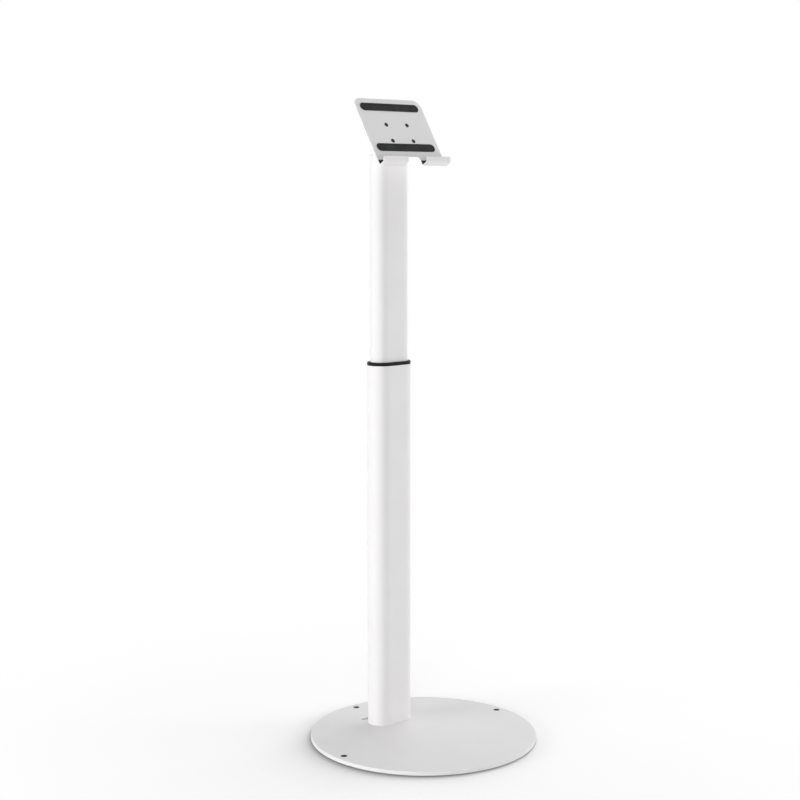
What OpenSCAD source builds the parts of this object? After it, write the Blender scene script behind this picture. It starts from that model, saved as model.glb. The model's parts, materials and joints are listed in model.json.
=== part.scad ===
// Height-adjustable floor stand with a tilting sheet-metal holder.
// Millimetres. The origin is on the floor under the centre of the base, +Z is up and the user
// stands on the -Y side. The column is drawn raised and the holder leaning back, as in use.

/* [Base] */
// Radius of the round base plate
base_r = 185; // [165:1:220]
// Thickness of the base plate
base_t = 6; // [5:0.5:10]
// Rounding of the base plate's upper edge
base_edge_r = 1.2; // [0.6:0.1:2]
// Rounding of the base plate's lower edge
base_low_r = 0.6; // [0.3:0.1:1]
// Distance of the column's axis behind the centre of the base
column_back = 85; // [40:1:95]
// Length of the cable slot behind the column
slot_len = 71; // [40:1:100]
// Width of the cable slot
slot_w = 7; // [5:0.5:10]
// Strip of plate left between the column and the cable slot
slot_gap = 2.5; // [2:0.5:15]

/* [Floor pads and plugs] */
// Thickness of the rubber floor pads
pad_t = 2; // [1.5:0.5:4]
// Radius of a floor pad
pad_r = 12; // [8:1:15]
// Distance of the floor pads' centres from the rim of the base
pad_inset = 20; // [17:1:40]
// Bevel on a floor pad's lower edge
pad_bevel = 0.5; // [0.3:0.1:0.7]
// Number of floor pads
pad_count = 8; // [4:4:12]
// Radius of the plugs that close the floor-fixing holes
plug_r = 5.4; // [4:0.1:6]
// Thickness of a plug's head
plug_head_t = 1.6; // [1:0.2:2]
// Bevel on the edge of a plug's head
plug_bevel = 0.3; // [0.2:0.1:0.6]
// Radius of a plug's stem
plug_stem_r = 3.1; // [2.6:0.1:3.3]
// Wall of a plug's hollow stem
plug_wall = 1.2; // [0.8:0.1:1.6]
// Length of a plug's stem below its head
plug_stem_len = 3; // [1.5:0.5:3]
// Distance of the floor-fixing holes from the rim of the base
plug_inset = 14.5; // [10:0.5:30]

/* [Column tubes] */
// Width of the flat faces of both oval tubes
tube_flat = 34; // [30:1:50]
// Radius of the outer tube's rounded ends
outer_r = 23; // [22:0.5:28]
// Wall of the outer tube
outer_wall = 2; // [1.5:0.5:3]
// Length of the outer tube
outer_len = 602; // [480:1:800]
// Space between the outer tube's bore and the inner tube
tube_gap = 3; // [2.5:0.5:4]
// Wall of the inner tube
inner_wall = 2; // [1.5:0.5:3]
// Length of the inner tube
inner_len = 616; // [480:1:700]
// Length of inner tube that stands out of the outer tube
inner_out = 336; // [200:1:400]

/* [Column foot] */
// Height of the block inside the foot of the outer tube
foot_h = 30; // [26:1:60]
// Radius of the screws that hold the foot block down
foot_screw_r = 3; // [2.5:0.5:3]
// Radius of their countersunk heads
foot_screw_head_r = 5.6; // [5:0.2:6]
// Length of the screws that hold the foot block down
foot_screw_len = 22; // [16:1:24]
// Half the spacing of those screws along the column's width
foot_screw_x = 20; // [18:1:22]
// Half the spacing of those screws across the column
foot_screw_y = 11; // [9:0.5:11]
// Height of the side screws above the base plate
side_screw_up = 15; // [10:1:18]

/* [Side screws of both tubes] */
// Radius of the side screws
side_screw_r = 2.5; // [2:0.25:2.5]
// Radius of their countersunk heads
side_screw_head_r = 4.3; // [3.6:0.1:4.4]
// Length of the side screws
side_screw_len = 9; // [7:0.5:10]
// Half the spacing of the side screws
side_screw_x = 9; // [7:0.5:11]

/* [Guide collar] */
// Height of the collar that rests on the outer tube's rim
collar_h = 5.5; // [4.5:0.5:10]
// Rounding of the collar's edges
collar_edge_r = 1.8; // [0.4:0.2:2]
// Length of the guide sleeve below the collar
sleeve_len = 60; // [50:1:90]
// Sliding clearance of the guides
slide_gap = 0.3; // [0.2:0.05:0.5]
// Length of the glide on the inner tube's lower end
glide_len = 40; // [30:1:60]
// Thickness of the glide's floor
glide_floor = 4; // [3:0.5:8]
// Radius of the lugs that hold the glide
lug_r = 3; // [2:0.5:5]
// Height of those lugs above the inner tube's end
lug_up = 18; // [10:1:22]

/* [Height lock] */
// Distance of the lock screw below the outer tube's rim
lock_drop = 25; // [20:1:32]
// Radius of the threaded bush in the outer tube's wall
bush_r = 7; // [6:0.5:8]
// Radius of the bush's flange
bush_flange_r = 9.5; // [9:0.5:14]
// Thickness of the bush's flange
bush_flange_t = 2; // [1.5:0.5:3]
// Radius of the lock screw
stud_r = 4; // [3:0.5:5]
// Radius of the hand knob
knob_r = 10; // [8.5:0.5:16]
// Length of the hand knob
knob_len = 11; // [9:0.5:18]
// Bevel on the knob's outer edge
knob_bevel = 1; // [0.5:0.1:1.5]
// Radius of the knob's face towards the bush
knob_hub_r = 7; // [6.5:0.5:8]
// Height of the slope between that face and the knob's side
knob_slope = 2; // [1:0.5:3]
// Length of the lock screw inside the knob
stud_grip = 6.5; // [5:0.5:7.5]
// Space between the knob and the bush
knob_gap = 0.5; // [0.3:0.1:2]
// Number of finger flutes round the knob
flute_count = 10; // [6:1:12]
// Radius of a finger flute
flute_r = 2.2; // [1.2:0.2:2.4]
// Width of the brake shoe that the lock screw presses
shoe_w = 24; // [16:1:28]
// Height of the brake shoe
shoe_h = 18; // [14:1:24]
// Space between the brake shoe and the inner tube
shoe_gap = 0.1; // [0.05:0.05:0.3]
// Space behind the brake shoe, for backing it off
shoe_room = 0.7; // [0.6:0.1:1]

/* [Tilt head] */
// Depth of the head's plug inside the inner tube
head_depth = 30; // [24:1:50]
// Wall of the head's plug
head_wall = 5; // [3:0.5:8]
// Thickness of the head's rim on the inner tube
head_rim = 3; // [2:0.5:5]
// Rounding of the head's rim
head_edge_r = 1; // [0.4:0.2:1.6]
// Depth of the side screws below the inner tube's rim
head_screw_down = 14; // [10:1:18]
// Height of the tilt axis above the inner tube's rim
hinge_up = 20; // [18:0.5:40]
// Distance between the head's ears
ear_gap = 24; // [18:0.5:30]
// Thickness of an ear
ear_t = 6; // [4:0.5:8]
// Radius of an ear's round end
ear_r = 11; // [10:0.5:13]
// Fillet at the root of an ear
ear_fillet = 4; // [1:0.5:5]
// Radius of the hinge bolt
bolt_r = 4; // [3:0.5:5]
// Radius of the hinge bolt's round head
bolt_head_r = 7; // [6.5:0.5:9]
// Height of the hinge bolt's head
bolt_head_h = 4.2; // [3:0.2:5]
// Length of bolt that stands out of the lock nut
bolt_end = 1.5; // [1:0.5:4]
// Bevel on the end of the hinge bolt
bolt_bevel = 0.6; // [0.3:0.1:1]
// Radius of the friction washers
washer_r = 9; // [7.5:0.5:10]
// Thickness of a friction washer
washer_t = 1; // [0.5:0.1:2]
// Radius of the disc springs
spring_r = 8; // [7:0.5:10]
// Thickness of a disc spring
spring_t = 0.8; // [0.5:0.1:1]
// Dish of a disc spring
spring_dish = 0.5; // [0.2:0.1:0.8]
// Width across the flats of the lock nut
nut_flats = 13; // [12:0.5:17]
// Width of the bevel that takes the lock nut's corners off
nut_bevel = 0.5; // [0.2:0.1:0.8]
// Height of the lock nut's hexagon
nut_h = 6; // [4:0.5:8]
// Height of the lock nut's round collar
nut_collar_h = 2; // [1:0.5:3]

/* [Tilt knuckle] */
// Radius of the knuckle's barrel
barrel_r = 10; // [8.5:0.5:12]
// Distance of the holder plate's back from the tilt axis
hinge_out = 30; // [26:0.5:40]
// Width of the knuckle's flange
flange_w = 60; // [54:1:80]
// Height of the knuckle's flange
flange_h = 46; // [40:1:60]
// Thickness of the knuckle's flange
flange_t = 4; // [3:0.5:6]
// Corner radius of the knuckle's flange
flange_corner_r = 6; // [3:0.5:10]
// Half-height of the knuckle's arm at the barrel
arm_top = 8.5; // [6:0.5:8.5]
// Half-height of the knuckle's arm at the flange
arm_root = 13; // [9:0.5:14]
// Fillet between the knuckle's arm and its flange
arm_fillet = 4; // [1:0.5:6]
// Spacing of the holder screws along the width
holder_screw_dx = 44; // [38:1:44]
// Spacing of the holder screws along the height
holder_screw_dv = 30; // [26:1:30]
// Radius of the holder screws
holder_screw_r = 2; // [1.5:0.25:2.5]
// Radius of their countersunk heads
holder_screw_head_r = 3.7; // [3.4:0.1:3.9]
// Length of the holder screws
holder_screw_len = 6; // [5:0.5:9]

/* [Holder plate and hooks] */
// Lean of the holder plate, measured up from the floor
tilt = 58; // [30:1:88]
// Thickness of the holder's sheet metal
sheet_t = 2; // [1.8:0.1:2.5]
// Height of the holder plate above the tilt axis
plate_up = 64; // [50:1:100]
// Corner radius of the holder plate
plate_corner_r = 14; // [4:1:24]
// Width of one hook
hook_w = 50.5; // [44:0.5:70]
// Gap between the two hooks
hook_gap = 40; // [24:1:60]
// Depth of the hooks' floor below the tilt axis
hook_drop = 59.7; // [52:0.1:80]
// Height of the notch between the hooks
notch_up = 14; // [8:1:18]
// Corner radius of that notch
notch_r = 6; // [2:0.5:7]
// Inside radius of the sheet's bends
bend_r = 2; // [1.6:0.1:3]
// Length of a hook's flat floor
hook_floor = 7.4; // [7:0.1:20]
// Length of a hook's flat lip
lip_len = 6.7; // [5:0.1:16]
// Lean of the lip away from the plate
lip_lean = 32; // [5:1:45]
// Corner radius of a lip
lip_corner_r = 2; // [0.5:0.1:3]
// Thickness of the rubber lining in the hooks
liner_t = 0.8; // [0.5:0.1:1.4]
// Height of the lining on the plate
liner_up = 6; // [3:0.5:10]
// Strip of lip left bare above the lining
liner_bare = 1; // [0.4:0.1:2]
// Strip of hook left bare beside the lining
liner_side = 0.6; // [0.2:0.1:3]
// Thickness of the rubber strips on the plate
strip_t = 1; // [0.8:0.1:3]
// Width of a rubber strip
strip_w = 14; // [8:1:16]
// Bare border round the rubber strips
strip_border = 9; // [6:1:14]

/* [Hidden] */
$fn = 64;

white_paint = [0.92, 0.92, 0.92];
black_plastic = [0.06, 0.06, 0.06];
black_rubber = [0.09, 0.09, 0.09];
grey_metal = [0.62, 0.63, 0.65];
dark_steel = [0.16, 0.16, 0.17];

// Clearance between pieces that are fixed to each other
fit_gap = 0.05;
// Radial clearance of the turning fits
turn_gap = 0.06;
// Radius and depth of a screw's hexagon socket, as shares of its shank's radius
socket_r_share = 0.72;
socket_depth_share = 0.65;
// Length by which a cutting tool runs past the surface that it cuts
over = 1;
// Step between a lip's face and the tangent of its bend
crease = 0.01;
// Share of a lip's corner radius by which the corner's arc stops short of its tangents
corner_ease = 0.02;
// Directions of the three plugged floor-fixing holes: right, back and left
plug_angles = [0, 90, 180];

base_top = pad_t + base_t;
outer_top = base_top + outer_len;
outer_bore_r = outer_r - outer_wall;
inner_r = outer_bore_r - tube_gap;
inner_bore_r = inner_r - inner_wall;
inner_top = outer_top + inner_out;
inner_bottom = inner_top - inner_len;
plug_ring_r = base_r - plug_inset;
pad_ring_r = base_r - pad_inset;
slot_y = column_back + outer_r + slot_gap + slot_w / 2;

lock_z = outer_top - lock_drop;
shoe_t = tube_gap - shoe_gap - shoe_room;
shoe_back = inner_r + shoe_gap + shoe_t;
knob_from = outer_r + bush_flange_t + knob_gap;
stud_to = knob_from + stud_grip;

hinge_z = inner_top + hinge_up;
ear_out = ear_gap / 2 + ear_t;
spring_h = spring_t + spring_dish;
barrel_len = ear_gap - 2 * washer_t - 4 * fit_gap;
nut_from = ear_out + 2 * spring_h + 2 * fit_gap;

plate_w = 2 * hook_w + hook_gap;
plate_face = hinge_out + sheet_t;
bend_v = bend_r - hook_drop;
bend_w = plate_face + bend_r;

// Plane shapes

// Two parallel sides of that length between round ends
module round_ended(flat, r) {
    square([flat, 2 * r], center = true);
    for (side = [-1, 1])
        translate([side * flat / 2, 0]) circle(r);
}

module oval(r) round_ended(tube_flat, r);

module rounded_rectangle(size, r) {
    square([size.x - 2 * r, size.y], center = true);
    square([size.x, size.y - 2 * r], center = true);
    for (sx = [-1, 1], sy = [-1, 1])
        translate([sx * (size.x / 2 - r), sy * (size.y / 2 - r)]) circle(r);
}

// Solid helpers

module on_column(z) translate([0, column_back, z]) children();

// Extrudes a plane shape drawn in (Y, Z) along X, centred
module along_x(len) rotate([90, 0, 90]) linear_extrude(len, center = true) children();

// Turns what is drawn along +Z to point along +X
module point_x() rotate([0, 90, 0]) children();

// Turns what is drawn along +Z to point to the stand's back, +Y
module point_back() rotate([-90, 0, 0]) children();

// Sweeps a half section, drawn as (distance from the track, height), round the oval track
module oval_sweep() {
    for (side = [-1, 1])
        translate([side * tube_flat / 2, 0, 0])
            rotate([0, 0, -90 * side]) rotate_extrude(angle = 180) children();
    for (turn = [0, 180])
        rotate([0, 0, turn]) along_x(tube_flat) children();
}

// Room for a key in the head of a screw of that shank radius, open towards -Z
module hexagon_socket(r) {
    translate([0, 0, -over])
        cylinder(h = over + socket_depth_share * r, r = socket_r_share * r, $fn = 6);
}

// Countersunk screw, its flat head at Z 0 and its shank towards +Z
module csk_screw(r, head_r, len) {
    difference() {
        rotate_extrude()
            polygon([[0, 0], [head_r, 0], [r, head_r - r], [r, len], [0, len]]);
        hexagon_socket(r);
    }
}

// Room for the same screw, open past its head
module csk_hole(r, head_r, len) {
    rotate_extrude()
        polygon([
            [0, -over], [head_r + fit_gap, -over], [head_r + fit_gap, 0],
            [r + fit_gap, head_r - r], [r + fit_gap, len + over], [0, len + over]
        ]);
}

module at_foot_screws() {
    for (sx = [-1, 1], sy = [-1, 1])
        translate([sx * foot_screw_x, column_back + sy * foot_screw_y, pad_t]) children();
}

// Side screws enter a tube of the given radius from the back and point towards the user
module at_side_screws(r, z) {
    for (side = [-1, 1])
        translate([side * side_screw_x, column_back + r, z]) rotate([90, 0, 0]) children();
}

module at_lock(distance) translate([0, column_back + distance, lock_z]) point_back() children();

// The holder's own frame: X across, Y up along the plate, Z out of the plate to the user
module at_holder() translate([0, column_back, hinge_z]) rotate([tilt, 0, 0]) children();

module at_holder_screws() {
    for (sx = [-1, 1], sv = [-1, 1])
        translate([sx * holder_screw_dx / 2, sv * holder_screw_dv / 2, plate_face])
            rotate([180, 0, 0]) children();
}

module at_hooks() {
    for (side = [-1, 1])
        translate([side * (hook_gap + hook_w) / 2, 0, 0]) children();
}

// Base

module base_section() {
    square([base_r - base_edge_r, base_t]);
    square([base_r - base_low_r, base_t / 2]);
    translate([0, base_low_r]) square([base_r, base_t - base_low_r - base_edge_r]);
    translate([base_r - base_edge_r, base_t - base_edge_r]) circle(base_edge_r);
    translate([base_r - base_low_r, base_low_r]) circle(base_low_r);
}

module base_plate() color(white_paint) {
    difference() {
        translate([0, 0, pad_t]) rotate_extrude($fn = 180) base_section();
        for (angle = plug_angles)
            rotate([0, 0, angle]) translate([plug_ring_r, 0, 0]) {
                cylinder(h = base_top + over, r = plug_stem_r + fit_gap);
                translate([0, 0, base_top - plug_head_t])
                    cylinder(h = plug_head_t + over, r = plug_r + fit_gap);
            }
        at_foot_screws() csk_hole(foot_screw_r, foot_screw_head_r, base_t);
        translate([0, slot_y, pad_t - over])
            linear_extrude(base_t + 2 * over)
                round_ended(slot_len - slot_w, slot_w / 2);
    }
}

module floor_pads() color(black_rubber) {
    for (i = [0 : pad_count - 1])
        rotate([0, 0, (i + 0.5) * 360 / pad_count]) translate([pad_ring_r, 0, 0])
            rotate_extrude()
                polygon([
                    [0, 0], [pad_r - pad_bevel, 0], [pad_r, pad_bevel], [pad_r, pad_t], [0, pad_t]
                ]);
}

module floor_plugs() color(black_plastic) {
    hollow_r = plug_stem_r - plug_wall;
    for (angle = plug_angles)
        rotate([0, 0, angle]) translate([plug_ring_r, 0, base_top - plug_head_t])
            rotate_extrude()
                polygon([
                    [0, 0], [hollow_r, 0], [hollow_r, -plug_stem_len], [plug_stem_r, -plug_stem_len],
                    [plug_stem_r, 0], [plug_r, 0], [plug_r, plug_head_t - plug_bevel],
                    [plug_r - plug_bevel, plug_head_t], [0, plug_head_t]
                ]);
}

// Column

module foot_block() color(grey_metal) {
    difference() {
        on_column(base_top) linear_extrude(foot_h) oval(outer_bore_r - fit_gap);
        at_foot_screws() csk_hole(foot_screw_r, foot_screw_head_r, foot_screw_len);
        at_side_screws(outer_r, base_top + side_screw_up)
            csk_hole(side_screw_r, side_screw_head_r, side_screw_len);
    }
}

module foot_screws() color(dark_steel)
    at_foot_screws() csk_screw(foot_screw_r, foot_screw_head_r, foot_screw_len);

module outer_tube() color(white_paint) {
    difference() {
        on_column(base_top) linear_extrude(outer_len) difference() {
            oval(outer_r);
            oval(outer_bore_r);
        }
        at_side_screws(outer_r, base_top + side_screw_up)
            csk_hole(side_screw_r, side_screw_head_r, side_screw_len);
        at_lock(outer_bore_r - over) cylinder(h = outer_wall + 2 * over, r = bush_r + fit_gap);
    }
}

module foot_side_screws() color(dark_steel)
    at_side_screws(outer_r, base_top + side_screw_up)
        csk_screw(side_screw_r, side_screw_head_r, side_screw_len);

module guide_collar() color(black_plastic) {
    bore_r = inner_r + slide_gap;
    ring_t = outer_r - bore_r;
    difference() {
        union() {
            on_column(outer_top) oval_sweep()
                translate([bore_r + ring_t / 2, collar_h / 2])
                    rounded_rectangle([ring_t, collar_h], collar_edge_r);
            on_column(outer_top - sleeve_len)
                linear_extrude(sleeve_len + collar_h / 2) difference() {
                    oval(outer_bore_r - fit_gap);
                    oval(bore_r);
                }
        }
        on_column(lock_z) translate([0, outer_bore_r, 0])
            cube([shoe_w + 2 * slide_gap, 2 * tube_gap, shoe_h + 2 * slide_gap], center = true);
    }
}

module lock_bush() color(grey_metal) {
    at_lock(outer_bore_r) difference() {
        union() {
            cylinder(h = outer_wall + bush_flange_t, r = bush_r);
            translate([0, 0, outer_wall]) cylinder(h = bush_flange_t, r = bush_flange_r);
        }
        translate([0, 0, -over])
            cylinder(h = outer_wall + bush_flange_t + 2 * over, r = stud_r + turn_gap);
    }
}

module brake_shoe() color(black_plastic)
    at_lock(inner_r + shoe_gap + shoe_t / 2) cube([shoe_w, shoe_h, shoe_t], center = true);

module lock_screw() color(grey_metal)
    at_lock(shoe_back + fit_gap) cylinder(h = stud_to - shoe_back - fit_gap, r = stud_r);

module hand_knob() color(black_plastic) {
    at_lock(knob_from) difference() {
        rotate_extrude()
            polygon([
                [0, 0], [knob_hub_r, 0], [knob_r, knob_slope], [knob_r, knob_len - knob_bevel],
                [knob_r - knob_bevel, knob_len], [0, knob_len]
            ]);
        for (i = [0 : flute_count - 1])
            rotate([0, 0, i * 360 / flute_count]) translate([knob_r + flute_r / 2, 0, -over])
                cylinder(h = knob_len + 2 * over, r = flute_r);
        translate([0, 0, -over]) cylinder(h = over + stud_grip + fit_gap, r = stud_r + fit_gap);
    }
}

module inner_tube() color(white_paint) {
    difference() {
        on_column(inner_bottom) linear_extrude(inner_len) difference() {
            oval(inner_r);
            oval(inner_bore_r);
        }
        at_side_screws(inner_r, inner_top - head_screw_down)
            csk_hole(side_screw_r, side_screw_head_r, side_screw_len);
        on_column(inner_bottom + lug_up) translate([0, -inner_r - over, 0])
            point_back() cylinder(h = 2 * (inner_r + over), r = lug_r + fit_gap);
    }
}

module lower_glide() color(black_plastic) {
    skirt_in = inner_r + fit_gap;
    skirt_out = outer_bore_r - slide_gap;
    ledge_r = inner_bore_r - inner_wall;
    lug_len = (skirt_in + skirt_out) / 2 - inner_bore_r;
    on_column(inner_bottom - glide_floor) oval_sweep()
        polygon([
            [ledge_r, 0], [skirt_out, 0], [skirt_out, glide_len], [skirt_in, glide_len],
            [skirt_in, glide_floor - fit_gap], [ledge_r, glide_floor - fit_gap]
        ]);
    for (turn = [0, 180])
        on_column(inner_bottom + lug_up) rotate([0, 0, turn])
            translate([0, inner_bore_r, 0]) point_back() cylinder(h = lug_len, r = lug_r);
}

// Tilt head

module ear_outline() {
    rise = hinge_up - head_rim;
    translate([0, rise]) circle(ear_r);
    translate([-ear_r, 0]) square([2 * ear_r, rise]);
    for (side = [-1, 1])
        difference() {
            translate([side * (ear_r + ear_fillet / 2), ear_fillet / 2])
                square(ear_fillet, center = true);
            translate([side * (ear_r + ear_fillet), ear_fillet]) circle(ear_fillet);
        }
}

module tilt_head() color(white_paint) {
    plug_out = inner_bore_r - fit_gap;
    rim_section_r = inner_r - head_edge_r;
    difference() {
        union() {
            on_column(inner_top - head_depth) linear_extrude(head_depth) difference() {
                oval(plug_out);
                oval(plug_out - head_wall);
            }
            on_column(inner_top) oval_sweep() {
                square([inner_r, head_rim - head_edge_r]);
                square([rim_section_r, head_rim]);
                translate([rim_section_r, head_rim - head_edge_r]) circle(head_edge_r);
            }
            for (side = [-1, 1])
                on_column(inner_top + head_rim)
                    translate([side * (ear_gap + ear_t) / 2, 0, 0]) along_x(ear_t) ear_outline();
        }
        on_column(hinge_z) translate([-ear_out - over, 0, 0]) point_x()
            cylinder(h = 2 * (ear_out + over), r = bolt_r + fit_gap);
        at_side_screws(inner_r, inner_top - head_screw_down)
            csk_hole(side_screw_r, side_screw_head_r, side_screw_len);
    }
}

module head_side_screws() color(dark_steel)
    at_side_screws(inner_r, inner_top - head_screw_down)
        csk_screw(side_screw_r, side_screw_head_r, side_screw_len);

module hinge_bolt() color(dark_steel) {
    bolt_len = ear_out + nut_from + nut_h + nut_collar_h + bolt_end;
    dome_r = (bolt_head_r * bolt_head_r + bolt_head_h * bolt_head_h) / (2 * bolt_head_h);
    on_column(hinge_z) translate([-ear_out - fit_gap, 0, 0]) difference() {
        union() {
            point_x() rotate_extrude()
                polygon([
                    [0, 0], [bolt_r, 0], [bolt_r, bolt_len - bolt_bevel],
                    [bolt_r - bolt_bevel, bolt_len], [0, bolt_len]
                ]);
            rotate([0, -90, 0]) rotate_extrude() intersection() {
                translate([0, bolt_head_h - dome_r]) circle(dome_r);
                square([bolt_head_r, bolt_head_h]);
            }
        }
        translate([-bolt_head_h, 0, 0]) point_x() hexagon_socket(bolt_r);
    }
}

module friction_washers() color(black_plastic) {
    for (side = [-1, 1])
        on_column(hinge_z) translate([side * (ear_gap / 2 - fit_gap - washer_t / 2), 0, 0])
            point_x() difference() {
                cylinder(h = washer_t, r = washer_r, center = true);
                cylinder(h = washer_t + 2 * over, r = bolt_r + turn_gap, center = true);
            }
}

module disc_spring() {
    bore_r = bolt_r + fit_gap;
    rotate_extrude()
        polygon([
            [bore_r, spring_dish], [spring_r, 0], [spring_r, spring_t], [bore_r, spring_h]
        ]);
}

module disc_springs() color(grey_metal)
    on_column(hinge_z) translate([ear_out + fit_gap, 0, 0]) point_x() {
        disc_spring();
        translate([0, 0, 2 * spring_h + fit_gap]) mirror([0, 0, 1]) disc_spring();
    }

module lock_nut() color(grey_metal) {
    corner_r = nut_flats / 2 / cos(30);
    collar_r = nut_flats / 2 - nut_bevel;
    rise = (corner_r - collar_r) * tan(30);
    on_column(hinge_z) translate([nut_from + fit_gap, 0, 0]) point_x() difference() {
        union() {
            intersection() {
                cylinder(h = nut_h, r = corner_r, $fn = 6);
                rotate_extrude()
                    polygon([
                        [0, 0], [collar_r, 0], [corner_r, rise], [corner_r, nut_h - rise],
                        [collar_r, nut_h], [0, nut_h]
                    ]);
            }
            cylinder(h = nut_h + nut_collar_h, r = collar_r);
        }
        translate([0, 0, -over])
            cylinder(h = nut_h + nut_collar_h + 2 * over, r = bolt_r + fit_gap);
    }
}

// Holder

// Side view of the knuckle's arm: it widens from the barrel and runs into the flange with fillets
module arm_outline(flange_from) {
    arm_len = flange_from + flange_t / 2;
    lean = atan((arm_root - arm_top) / arm_len);
    centre_w = flange_from - arm_fillet;
    centre_v = arm_top + centre_w * tan(lean) + arm_fillet / cos(lean);
    polygon([[-arm_top, 0], [arm_top, 0], [arm_root, arm_len], [-arm_root, arm_len]]);
    for (side = [0, 1])
        mirror([side, 0]) difference() {
            polygon([
                [arm_top, centre_w], [centre_v, centre_w], [centre_v, arm_len], [arm_top, arm_len]
            ]);
            translate([centre_v, centre_w]) circle(arm_fillet);
        }
}

module tilt_knuckle() color(white_paint) at_holder() {
    flange_from = hinge_out - flange_t;
    difference() {
        union() {
            translate([-barrel_len / 2, 0, 0]) point_x() cylinder(h = barrel_len, r = barrel_r);
            along_x(barrel_len) arm_outline(flange_from);
            translate([0, 0, flange_from]) linear_extrude(flange_t - fit_gap)
                rounded_rectangle([flange_w, flange_h], flange_corner_r);
        }
        translate([-barrel_len / 2 - over, 0, 0]) point_x()
            cylinder(h = barrel_len + 2 * over, r = bolt_r + turn_gap);
        at_holder_screws() csk_hole(holder_screw_r, holder_screw_head_r, sheet_t + flange_t);
    }
}

// Side view of a hook filled out to radius r from the bends' centres
module hook_outside(r, leg, lip) translate([bend_v, bend_w]) {
    circle(r);
    translate([0, -r]) square([leg, r]);
    translate([-r, 0]) square([r, hook_floor]);
    translate([0, hook_floor]) {
        circle(r);
        rotate(lip_lean) square([lip, r - crease]);
    }
}

// Side view of the space inside a hook, out to radius r from the bends' centres
module hook_inside(r, r_out, reach) translate([bend_v, bend_w]) {
    circle(r);
    translate([0, -r]) square([reach, r + hook_floor]);
    translate([-r, 0]) square([r, hook_floor]);
    translate([0, hook_floor]) {
        circle(r);
        rotate(lip_lean) translate([0, -r_out]) square([reach, r_out + r - crease]);
    }
}

// Strip of sheet that runs down the plate, under the seat and up the leaning lip, between two
// radii measured from the bends' centres, with rounded corners on the lip
module hook_strip(r_in, r_out, leg, lip, width) {
    inset = lip_corner_r * (1 - corner_ease);
    difference() {
        along_x(width) difference() {
            hook_outside(r_out, leg, lip);
            hook_inside(r_in, r_out, leg + lip + over);
        }
        translate([0, bend_v, bend_w + hook_floor]) rotate([lip_lean, 0, 0])
            for (side = [-1, 1])
                translate([side * width / 2, lip]) linear_extrude(r_out + over) difference() {
                    square(2 * lip_corner_r, center = true);
                    translate([-side * inset, -inset]) circle(lip_corner_r);
                }
    }
}

module plate_outline() {
    height = plate_up - bend_v;
    difference() {
        union() {
            translate([-plate_w / 2, bend_v]) square([plate_w, height - plate_corner_r]);
            translate([plate_corner_r - plate_w / 2, bend_v])
                square([plate_w - 2 * plate_corner_r, height]);
            for (side = [-1, 1])
                translate([side * (plate_w / 2 - plate_corner_r), plate_up - plate_corner_r])
                    circle(plate_corner_r);
        }
        translate([0, bend_v]) rounded_rectangle([hook_gap, 2 * notch_up], notch_r);
    }
}

module holder_plate() color(white_paint) at_holder() {
    outside_r = bend_r + sheet_t;
    difference() {
        union() {
            translate([0, 0, hinge_out]) linear_extrude(sheet_t) plate_outline();
            at_hooks() hook_strip(bend_r, outside_r, outside_r, lip_len, hook_w);
        }
        at_holder_screws() csk_hole(holder_screw_r, holder_screw_head_r, sheet_t + over);
    }
}

module holder_screws() color(dark_steel)
    at_holder() at_holder_screws() csk_screw(holder_screw_r, holder_screw_head_r, holder_screw_len);

module hook_liners() color(black_rubber) at_holder() at_hooks()
    hook_strip(
        bend_r - liner_t, bend_r - fit_gap, liner_up, lip_len - liner_bare,
        hook_w - 2 * liner_side
    );

module face_strips() color(black_rubber) at_holder() {
    low_v = bend_v + notch_up + strip_border + strip_w / 2;
    high_v = plate_up - strip_border - strip_w / 2;
    for (v = [low_v, high_v])
        translate([0, v, plate_face + fit_gap]) linear_extrude(strip_t)
            round_ended(plate_w - 2 * strip_border - strip_w, strip_w / 2);
}

base_plate();
floor_pads();
floor_plugs();
foot_block();
foot_screws();
outer_tube();
foot_side_screws();
guide_collar();
lock_bush();
brake_shoe();
lock_screw();
hand_knob();
inner_tube();
lower_glide();
tilt_head();
head_side_screws();
hinge_bolt();
friction_washers();
disc_springs();
lock_nut();
tilt_knuckle();
holder_plate();
holder_screws();
hook_liners();
face_strips();
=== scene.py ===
import json
import math

import bpy
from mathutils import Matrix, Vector

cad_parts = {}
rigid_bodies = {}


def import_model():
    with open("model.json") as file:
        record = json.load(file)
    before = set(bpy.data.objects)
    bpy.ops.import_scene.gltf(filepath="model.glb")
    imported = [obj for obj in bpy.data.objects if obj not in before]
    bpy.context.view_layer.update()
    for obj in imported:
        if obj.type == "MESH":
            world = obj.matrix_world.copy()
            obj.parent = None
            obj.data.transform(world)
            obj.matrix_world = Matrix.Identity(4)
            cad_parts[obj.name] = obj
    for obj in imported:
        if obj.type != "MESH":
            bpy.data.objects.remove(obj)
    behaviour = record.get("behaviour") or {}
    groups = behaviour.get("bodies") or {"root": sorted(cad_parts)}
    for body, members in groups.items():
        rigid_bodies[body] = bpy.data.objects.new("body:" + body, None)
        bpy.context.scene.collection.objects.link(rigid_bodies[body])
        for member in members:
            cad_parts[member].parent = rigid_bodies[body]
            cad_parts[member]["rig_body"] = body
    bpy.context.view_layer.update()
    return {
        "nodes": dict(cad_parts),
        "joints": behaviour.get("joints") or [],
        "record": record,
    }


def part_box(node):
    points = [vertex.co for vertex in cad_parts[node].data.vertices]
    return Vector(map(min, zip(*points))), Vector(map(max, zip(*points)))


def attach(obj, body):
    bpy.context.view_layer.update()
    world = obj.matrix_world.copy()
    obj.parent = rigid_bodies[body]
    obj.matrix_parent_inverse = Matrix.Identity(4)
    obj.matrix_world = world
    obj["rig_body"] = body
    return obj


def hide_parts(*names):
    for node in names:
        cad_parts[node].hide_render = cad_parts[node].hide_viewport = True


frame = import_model()
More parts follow.
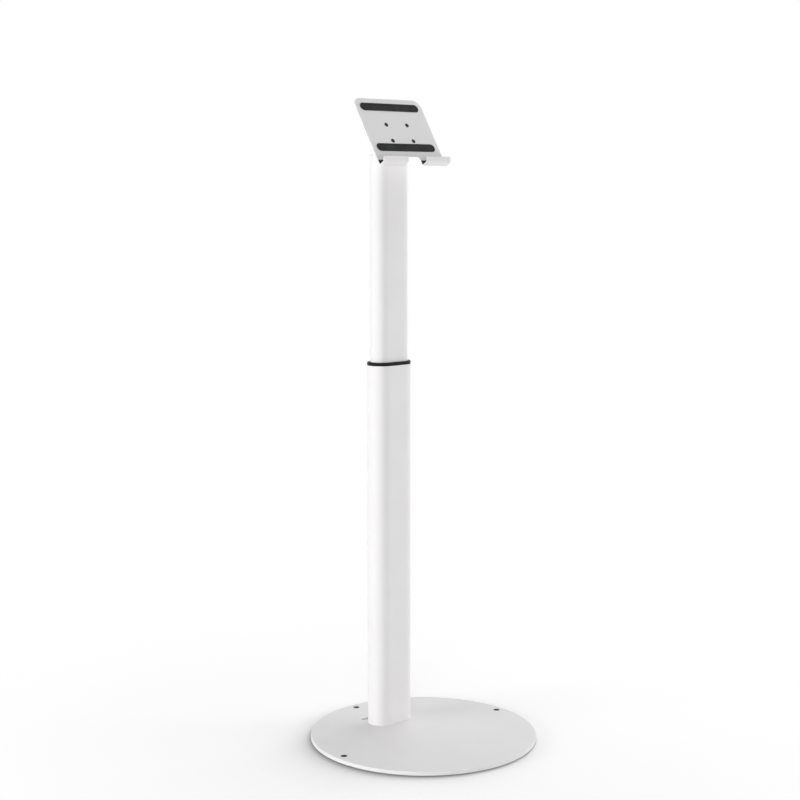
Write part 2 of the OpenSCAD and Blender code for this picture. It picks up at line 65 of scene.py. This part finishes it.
slots = {part["node"]: part["material_slot"] for part in frame["record"]["subparts"]}

# Camera, in metres and degrees: where it stands round the base's axis, and how it is aimed
CAMERA_AZIMUTH = -42.740
CAMERA_DISTANCE = 2.5558
CAMERA_HEIGHT = 0.8922
CAMERA_PITCH = -7.427
CAMERA_YAW = 0.865
CAMERA_LENS_MM = 72.36
CAMERA_SENSOR_MM = 36

# Ambient light: its level at the horizon and overhead, and the heights (as sines of the elevation)
# between which it turns from one to the other
HORIZON_LEVEL = 0.0
ZENITH_LEVEL = 0.23
HORIZON_TO = 0.40
ZENITH_FROM = 0.60

# Softboxes, in metres and degrees, all aimed at one point. The low ones stand round the stand, each
# with its azimuth and level. The high ones look down on it, each with its azimuth, elevation and
# level. The top one hangs right over it
LIGHT_AIM = Vector((0, 0.05, 0.5))
LOW_DISTANCE = 3.6
LOW_ELEVATION = 2
LOW_WIDTH = 1.8
LOW_HEIGHT = 1.1
LOW_BOXES = {
    "left_box": (-108, 0.61),
    "front_box": (-45, 0.40),
    "right_box": (60, 0.52),
    "back_box": (170, 0.16),
}
HIGH_DISTANCE = 2.6
HIGH_SIDE = 2.0
HIGH_BOXES = {
    "high_left_box": (-75, 50, 0.06),
    "high_right_box": (105, 35, 0.50),
}
TOP_SIDE = 2.2
TOP_AZIMUTH = 0
TOP_ELEVATION = 89
TOP_LEVEL = 0.17

# Floor, in metres: its reach and its number of sides, the share of plain white in it under the stand,
# the radius from which it is all plain white, and the grey with which it lights the stand from below.
# Nearer than that radius it keeps the stand's shadow, with a painted contact shade on top, and its white
# makes up for the level of the light that falls on it
FLOOR_RADIUS = 9.0
FLOOR_SIDES = 96
FLOOR_PLAIN_SHARE = 0.08
FLOOR_PLAIN_RADIUS = 0.9
FLOOR_BOUNCE = 0.8
FLOOR_WHITE = 1.185

# Painted contact shade in the floor's colour, in metres and degrees: it hugs the base and leans away
# from this direction
CONTACT_REACH = 0.12
CONTACT_DEPTH = 1.5
CONTACT_RAYS = 16
CONTACT_AZIMUTH = 96
CONTACT_ELEVATION = 30

# Finishes: the values of a pattern at which a finish reaches its low and its high end, and the radius
# in metres to which a sharp edge looks rounded
NOISE_LOW = 0.3
NOISE_HIGH = 0.7
FINE_EDGE = 0.0003

# Angle in degrees past which an edge of a new piece stays sharp
SHARP_ANGLE = 35

# Clamp screw's thread, in metres, and how finely it is drawn
THREAD_PITCH = 0.00125
THREAD_DEPTH = 0.0007
STEPS_ROUND = 48
STEPS_PER_PITCH = 8

# Lean of the holder's plate, in degrees up from the floor
HOLDER_LEAN = 58

# Rubber strips on the holder, in metres: rounded rim, and grip grooves that follow the outline and
# narrow to a share of their width at the bottom
STRIP_RIM = 0.0005
STRIP_GROOVE_FIRST = 0.0022
STRIP_GROOVE_STEP = 0.0016
STRIP_GROOVE_WIDTH = 0.0006
STRIP_GROOVE_BOTTOM = 0.5
STRIP_GROOVE_DEPTH = 0.0004
STRIP_GROOVES = 3
STRIP_CORE = 0.0008
STEPS_HALF_ROUND = 24
STEPS_RIM = 5


class Surface:
    """A material with one Principled shader, whose detail is laid on in real sizes.
    Its colour and roughness are the plain values that its patterns vary."""

    def __init__(self, name, colour, roughness, metallic=0.0, edge=FINE_EDGE):
        self.material = bpy.data.materials.new(name)
        self.material.use_nodes = True
        self.nodes = self.material.node_tree.nodes
        self.links = self.material.node_tree.links
        self.shader = self.nodes["Principled BSDF"]
        self.place = self.nodes.new("ShaderNodeTexCoord").outputs["Object"]
        soft_edge = self.nodes.new("ShaderNodeBevel")
        soft_edge.inputs["Radius"].default_value = edge
        self.normal = soft_edge.outputs["Normal"]
        self.links.new(self.normal, self.shader.inputs["Normal"])
        self.set("Base Color", (*colour, 1))
        self.set("Roughness", roughness)
        self.set("Metallic", metallic)

    def set(self, socket, value):
        """Sets one of the shader's values for the whole surface."""
        self.shader.inputs[socket].default_value = value

    def noise(self, size, detail=2.0, stretch=(1, 1, 1)):
        """Soft spots of about that size in metres, longer by stretch along each axis."""
        mapping = self.nodes.new("ShaderNodeMapping")
        mapping.inputs["Scale"].default_value = [1 / s for s in stretch]
        self.links.new(self.place, mapping.inputs["Vector"])
        node = self.nodes.new("ShaderNodeTexNoise")
        node.inputs["Scale"].default_value = 1 / size
        node.inputs["Detail"].default_value = detail
        self.links.new(mapping.outputs["Vector"], node.inputs["Vector"])
        return node.outputs["Fac"]

    def grain(self, size):
        """Rounded cells of about that size in metres, as a grained mould leaves them."""
        node = self.nodes.new("ShaderNodeTexVoronoi")
        node.feature = "SMOOTH_F1"
        node.inputs["Scale"].default_value = 1 / size
        self.links.new(self.place, node.inputs["Vector"])
        return node.outputs["Distance"]

    def colours(self, pattern, low, high):
        """Runs the base colour from low to high with the pattern."""
        ramp = self.nodes.new("ShaderNodeValToRGB")
        ramp.color_ramp.elements[0].position = NOISE_LOW
        ramp.color_ramp.elements[1].position = NOISE_HIGH
        ramp.color_ramp.elements[0].color = (*low, 1)
        ramp.color_ramp.elements[1].color = (*high, 1)
        self.links.new(pattern, ramp.inputs["Fac"])
        self.links.new(ramp.outputs["Color"], self.shader.inputs["Base Color"])

    def gloss(self, pattern, low, high):
        """Runs the roughness from low to high with the pattern."""
        span = self.nodes.new("ShaderNodeMapRange")
        span.inputs["From Min"].default_value = NOISE_LOW
        span.inputs["From Max"].default_value = NOISE_HIGH
        span.inputs["To Min"].default_value = low
        span.inputs["To Max"].default_value = high
        self.links.new(pattern, span.inputs["Value"])
        self.links.new(span.outputs["Result"], self.shader.inputs["Roughness"])

    def relief(self, pattern, height):
        """Raises the surface by the pattern times a height in metres."""
        bump = self.nodes.new("ShaderNodeBump")
        bump.inputs["Distance"].default_value = height
        self.links.new(pattern, bump.inputs["Height"])
        self.links.new(self.normal, bump.inputs["Normal"])
        self.normal = bump.outputs["Normal"]
        self.links.new(self.normal, self.shader.inputs["Normal"])


def powder_coat(name, skin_height, edge):
    """Satin white powder coat, a trace warm: fine orange peel over the skin of the metal below."""
    coat = Surface(name, colour=(0.807, 0.796, 0.796), roughness=0.36, edge=edge)
    patches = coat.noise(size=0.06, detail=3)
    coat.colours(patches, low=(0.797, 0.786, 0.786), high=(0.817, 0.806, 0.806))
    coat.gloss(coat.noise(size=0.004, detail=3), low=0.32, high=0.42)
    coat.relief(coat.noise(size=0.0025, detail=3), height=skin_height)
    coat.relief(coat.noise(size=0.0009), height=0.000008)
    return coat.material


def moulded_plastic():
    """Black plastic with the fine grain of its mould."""
    plastic = Surface("moulded_plastic", colour=(0.005, 0.005, 0.0055), roughness=0.5)
    plastic.set("Specular IOR Level", 0.20)
    patches = plastic.noise(size=0.01, detail=3)
    plastic.colours(patches, low=(0.004, 0.004, 0.0044), high=(0.0065, 0.0065, 0.007))
    plastic.gloss(plastic.noise(size=0.003, detail=3), low=0.40, high=0.55)
    plastic.relief(plastic.grain(size=0.0006), height=0.00003)
    return plastic.material


def rubber():
    """Matt black rubber with a dusty bloom."""
    soft = Surface("rubber", colour=(0.02, 0.02, 0.02), roughness=0.8)
    patches = soft.noise(size=0.012, detail=4)
    soft.colours(patches, low=(0.015, 0.015, 0.015), high=(0.026, 0.026, 0.026))
    soft.gloss(soft.noise(size=0.004, detail=3), low=0.72, high=0.9)
    soft.relief(soft.noise(size=0.0005), height=0.00004)
    return soft.material


def black_oxide():
    """Blackened steel with a thin oil sheen."""
    steel = Surface("black_oxide", colour=(0.045, 0.045, 0.05), roughness=0.38, metallic=1.0)
    patches = steel.noise(size=0.002, detail=4)
    steel.colours(patches, low=(0.035, 0.035, 0.04), high=(0.07, 0.07, 0.075))
    steel.gloss(steel.noise(size=0.0015, detail=3), low=0.3, high=0.48)
    steel.relief(steel.noise(size=0.0004), height=0.000006)
    return steel.material


def zinc_plate():
    """Zinc-plated steel with faint streaks from side to side."""
    drawn = (12, 1, 1)
    zinc = Surface("zinc_plate", colour=(0.60, 0.61, 0.63), roughness=0.32, metallic=1.0)
    patches = zinc.noise(size=0.003, detail=4)
    zinc.colours(patches, low=(0.55, 0.57, 0.60), high=(0.66, 0.66, 0.65))
    zinc.gloss(zinc.noise(size=0.0006, detail=3, stretch=drawn), low=0.24, high=0.42)
    zinc.relief(zinc.noise(size=0.0003, stretch=drawn), height=0.000004)
    return zinc.material


def bare_casting():
    """Bare cast aluminium with its sandy skin."""
    alloy = Surface("bare_casting", colour=(0.58, 0.59, 0.60), roughness=0.55, metallic=1.0)
    patches = alloy.noise(size=0.005, detail=4)
    alloy.colours(patches, low=(0.50, 0.51, 0.52), high=(0.66, 0.66, 0.67))
    alloy.gloss(alloy.noise(size=0.002, detail=3), low=0.45, high=0.65)
    alloy.relief(alloy.noise(size=0.0012, detail=4), height=0.00008)
    return alloy.material


def make_finishes():
    """The finish of each material slot of the record."""
    return {
        "white_steel": powder_coat("white_steel_coat", skin_height=0.000010, edge=0.0004),
        "white_casting": powder_coat("white_casting_coat", skin_height=0.000045, edge=0.0008),
        "bare_casting": bare_casting(),
        "black_plastic": moulded_plastic(),
        "black_rubber": rubber(),
        "dark_screws": black_oxide(),
        "zinc_steel": zinc_plate(),
    }


def dress_nodes():
    """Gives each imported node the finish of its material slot."""
    for node, slot in slots.items():
        materials = frame["nodes"][node].data.materials
        materials.clear()
        materials.append(finishes[slot])


def add_piece(name, rings, node):
    """Skins closed rings of points, caps both ends, and lets the piece stand for its node."""
    count = len(rings[0])
    last = (len(rings) - 1) * count
    faces = [list(range(count))[::-1]]
    faces.append([last + i for i in range(count)])
    for start in range(0, last, count):
        for i in range(count):
            j = (i + 1) % count
            faces.append([start + i, start + j, start + count + j, start + count + i])
    mesh = bpy.data.meshes.new(name)
    mesh.from_pydata([point for ring in rings for point in ring], [], faces)
    mesh.update()
    mesh.shade_smooth()
    mesh.set_sharp_from_angle(angle=math.radians(SHARP_ANGLE))
    mesh.materials.append(finishes[slots[node]])
    piece = bpy.data.objects.new(name, mesh)
    bpy.context.scene.collection.objects.link(piece)
    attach(piece, frame["nodes"][node]["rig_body"])
    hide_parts(node)


def make_lock_screw():
    """The clamp screw with its right-hand thread and bevelled ends."""
    low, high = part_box("lock_screw")
    axis = (low + high) / 2
    length = high.y - low.y
    crest = (high.x - low.x) / 2
    rows = round(length / THREAD_PITCH * STEPS_PER_PITCH)
    rings = []
    for row in range(rows + 1):
        along = length * row / rows
        bevel = min(along, length - along)
        ring = []
        for step in range(STEPS_ROUND):
            turn = step / STEPS_ROUND
            phase = (along / THREAD_PITCH - turn) % 1
            groove = THREAD_DEPTH * (1 - abs(2 * phase - 1))
            radius = crest - max(groove, THREAD_DEPTH - bevel)
            angle = -2 * math.pi * turn
            ring.append((
                axis.x + radius * math.cos(angle),
                low.y + along,
                axis.z + radius * math.sin(angle),
            ))
        rings.append(ring)
    add_piece("threaded_lock_screw", rings, "lock_screw")


def stadium(reach, radius):
    """Points round a strip's outline, whose round ends are centred at plus and minus reach."""
    points = []
    for end in (1, -1):
        for step in range(STEPS_HALF_ROUND + 1):
            angle = math.pi * (step / STEPS_HALF_ROUND - end / 2)
            points.append((end * reach + radius * math.cos(angle), radius * math.sin(angle)))
    return points


def strip_profile(half_width, thickness):
    """Half section of a strip, from its foot over the rounded rim and the grooves to the core,
    as (distance from the middle line, height)."""
    profile = [(half_width, 0)]
    for step in range(STEPS_RIM + 1):
        angle = math.pi / 2 * step / STEPS_RIM
        profile.append((
            half_width - STRIP_RIM * (1 - math.cos(angle)),
            thickness - STRIP_RIM * (1 - math.sin(angle)),
        ))
    bottom = STRIP_GROOVE_BOTTOM
    for groove in range(STRIP_GROOVES):
        middle = half_width - STRIP_GROOVE_FIRST - groove * STRIP_GROOVE_STEP
        for share, depth in ((1, 0), (bottom, 1), (-bottom, 1), (-1, 0)):
            profile.append((
                middle + share * STRIP_GROOVE_WIDTH / 2,
                thickness - depth * STRIP_GROOVE_DEPTH,
            ))
    profile.append((STRIP_CORE, thickness))
    return profile


def make_face_strips():
    """The two grooved rubber strips on the holder's face."""
    hinge = next(joint for joint in frame["joints"] if joint["name"] == "holder_tilt")
    lean = math.radians(HOLDER_LEAN)
    origin = Vector(hinge["pos_m"])
    across = Vector((1, 0, 0))
    up = Vector((0, math.cos(lean), math.sin(lean)))
    out = Vector((0, -math.sin(lean), math.cos(lean)))
    corners = [vertex.co - origin for vertex in frame["nodes"]["face_strips"].data.vertices]
    middle = sum(corner.dot(up) for corner in corners) / len(corners)
    for name, side in (("upper_face_strip", 1), ("lower_face_strip", -1)):
        own = [corner for corner in corners if side * (corner.dot(up) - middle) > 0]
        ups = [corner.dot(up) for corner in own]
        outs = [corner.dot(out) for corner in own]
        half_width = (max(ups) - min(ups)) / 2
        reach = max(corner.x for corner in own) - half_width
        place = origin + up * (max(ups) + min(ups)) / 2 + out * min(outs)
        rings = []
        for radius, height in strip_profile(half_width, max(outs) - min(outs)):
            rings.append([
                place + across * x + up * v + out * height for x, v in stadium(reach, radius)
            ])
        add_piece(name, rings, "face_strips")


def towards(azimuth, elevation):
    """The direction of a place seen from the stand; azimuth 0 is in front, and 90 at the right."""
    turn = math.radians(azimuth)
    rise = math.radians(elevation)
    level = math.cos(rise)
    return Vector((math.sin(turn) * level, -math.cos(turn) * level, math.sin(rise)))


def seen_rays(tree):
    """1 for the rays that look at the background: camera, glossy and transmission rays."""
    path = tree.nodes.new("ShaderNodeLightPath")
    total = path.outputs["Is Camera Ray"]
    for ray in ("Is Glossy Ray", "Is Transmission Ray"):
        either = tree.nodes.new("ShaderNodeMath")
        either.operation = "MAXIMUM"
        tree.links.new(total, either.inputs[0])
        tree.links.new(path.outputs[ray], either.inputs[1])
        total = either.outputs[0]
    return total


def make_world():
    """Soft light from overhead, which looks plain white itself."""
    world = bpy.data.worlds.new("studio")
    world.use_nodes = True
    tree = world.node_tree
    background = tree.nodes["Background"]
    background.inputs["Color"].default_value = (1, 1, 1, 1)
    split = tree.nodes.new("ShaderNodeSeparateXYZ")
    tree.links.new(tree.nodes.new("ShaderNodeTexCoord").outputs["Generated"], split.inputs[0])
    ambient = tree.nodes.new("ShaderNodeMapRange")
    ambient.interpolation_type = "SMOOTHSTEP"
    ambient.inputs["From Min"].default_value = HORIZON_TO
    ambient.inputs["From Max"].default_value = ZENITH_FROM
    ambient.inputs["To Min"].default_value = HORIZON_LEVEL
    ambient.inputs["To Max"].default_value = ZENITH_LEVEL
    tree.links.new(split.outputs["Z"], ambient.inputs["Value"])
    level = tree.nodes.new("ShaderNodeMix")
    level.inputs["B"].default_value = 1.0
    tree.links.new(seen_rays(tree), level.inputs["Factor"])
    tree.links.new(ambient.outputs["Result"], level.inputs["A"])
    tree.links.new(level.outputs["Result"], background.inputs["Strength"])
    bpy.context.scene.world = world


def white_with_painted_shade(tree):
    """The floor's white with a painted contact shade: darker close to the stand."""
    painted_shade = tree.nodes.new("ShaderNodeAmbientOcclusion")
    painted_shade.samples = CONTACT_RAYS
    painted_shade.inputs["Distance"].default_value = CONTACT_REACH
    lean = tree.nodes.new("ShaderNodeCombineXYZ")
    for axis, value in zip("XYZ", towards(CONTACT_AZIMUTH, CONTACT_ELEVATION)):
        lean.inputs[axis].default_value = value
    tree.links.new(lean.outputs[0], painted_shade.inputs["Normal"])
    depth = tree.nodes.new("ShaderNodeMath")
    depth.operation = "POWER"
    depth.inputs[1].default_value = CONTACT_DEPTH
    tree.links.new(painted_shade.outputs["AO"], depth.inputs[0])
    white = tree.nodes.new("ShaderNodeMath")
    white.operation = "MULTIPLY"
    white.inputs[1].default_value = FLOOR_WHITE
    tree.links.new(depth.outputs[0], white.inputs[0])
    return white.outputs[0]


def plain_share(tree):
    """The share of plain white in the floor, which grows with the distance from the stand."""
    place = tree.nodes.new("ShaderNodeTexCoord").outputs["Object"]
    reach = tree.nodes.new("ShaderNodeVectorMath")
    reach.operation = "LENGTH"
    tree.links.new(place, reach.inputs[0])
    share = tree.nodes.new("ShaderNodeMapRange")
    share.interpolation_type = "SMOOTHSTEP"
    share.inputs["From Max"].default_value = FLOOR_PLAIN_RADIUS
    share.inputs["To Min"].default_value = FLOOR_PLAIN_SHARE
    tree.links.new(reach.outputs["Value"], share.inputs["Value"])
    return share.outputs["Result"]


def floor_material():
    """White floor with the stand's shadow and a painted contact shade near it, running out to plain
    white.
    """
    material = bpy.data.materials.new("floor")
    material.use_nodes = True
    tree = material.node_tree
    tree.nodes.remove(tree.nodes["Principled BSDF"])

    def mix(first, second, share):
        """Blends two shaders; at a share of 1 only the second is left."""
        node = tree.nodes.new("ShaderNodeMixShader")
        tree.links.new(share, node.inputs["Fac"])
        tree.links.new(first.outputs[0], node.inputs[1])
        tree.links.new(second.outputs[0], node.inputs[2])
        return node

    lit = tree.nodes.new("ShaderNodeBsdfDiffuse")
    # The floor's colour carries the painted contact shade
    tree.links.new(white_with_painted_shade(tree), lit.inputs["Color"])
    plain = tree.nodes.new("ShaderNodeEmission")
    plain.inputs["Color"].default_value = (1, 1, 1, 1)
    plain.inputs["Strength"].default_value = 1.0
    bounce = tree.nodes.new("ShaderNodeBsdfDiffuse")
    bounce.inputs["Color"].default_value = (FLOOR_BOUNCE, FLOOR_BOUNCE, FLOOR_BOUNCE, 1)
    seen = mix(lit, plain, plain_share(tree))
    full = mix(bounce, seen, seen_rays(tree))
    tree.links.new(full.outputs[0], tree.nodes["Material Output"].inputs["Surface"])
    return material


def make_floor():
    """A wide round floor under the stand."""
    bpy.ops.mesh.primitive_circle_add(vertices=FLOOR_SIDES, radius=FLOOR_RADIUS, fill_type="NGON")
    floor = bpy.context.object
    floor.name = "floor"
    floor.data.materials.append(floor_material())


def softbox(name, azimuth, elevation, distance, width, height, level, mirrored=False):
    """A soft area lamp aimed at the stand; a white surface facing it takes that level.
    Only a mirrored one shows in glossy surfaces, which otherwise show the white background."""
    lamp = bpy.data.lights.new(name, "AREA")
    lamp.shape = "RECTANGLE"
    lamp.size = width
    lamp.size_y = height
    lamp.energy = level * (math.pi * distance) ** 2
    box = bpy.data.objects.new(name, lamp)
    bpy.context.scene.collection.objects.link(box)
    back = towards(azimuth, elevation)
    box.location = LIGHT_AIM + back * distance
    box.rotation_mode = "QUATERNION"
    box.rotation_quaternion = (-back).to_track_quat("-Z", "Y")
    box.visible_camera = False
    box.visible_glossy = mirrored


def make_lights():
    """The ambient light, the low softboxes round the stand and the high ones above it."""
    make_world()
    for name, (azimuth, level) in LOW_BOXES.items():
        softbox(name, azimuth, LOW_ELEVATION, LOW_DISTANCE, LOW_WIDTH, LOW_HEIGHT, level)
    for name, (azimuth, elevation, level) in HIGH_BOXES.items():
        softbox(name, azimuth, elevation, HIGH_DISTANCE, HIGH_SIDE, HIGH_SIDE, level)
    softbox(
        "top_box", TOP_AZIMUTH, TOP_ELEVATION, HIGH_DISTANCE, TOP_SIDE, TOP_SIDE, TOP_LEVEL, mirrored=True
    )


def make_camera():
    """The camera, brought level by 90 degrees from looking down, then tipped by its pitch and turned
    by its yaw from the base's axis."""
    camera = bpy.data.cameras.new("camera")
    camera.lens = CAMERA_LENS_MM
    camera.sensor_width = CAMERA_SENSOR_MM
    viewer = bpy.data.objects.new("camera", camera)
    bpy.context.scene.collection.objects.link(viewer)
    turn = math.radians(CAMERA_AZIMUTH)
    viewer.location = (
        CAMERA_DISTANCE * math.sin(turn),
        -CAMERA_DISTANCE * math.cos(turn),
        CAMERA_HEIGHT,
    )
    viewer.rotation_euler = (
        math.radians(90 + CAMERA_PITCH),
        0,
        math.radians(CAMERA_AZIMUTH + CAMERA_YAW),
    )
    bpy.context.scene.camera = viewer


finishes = make_finishes()
dress_nodes()
make_lock_screw()
make_face_strips()
make_floor()
make_lights()
make_camera()
bpy.context.scene.view_settings.view_transform = "Standard"
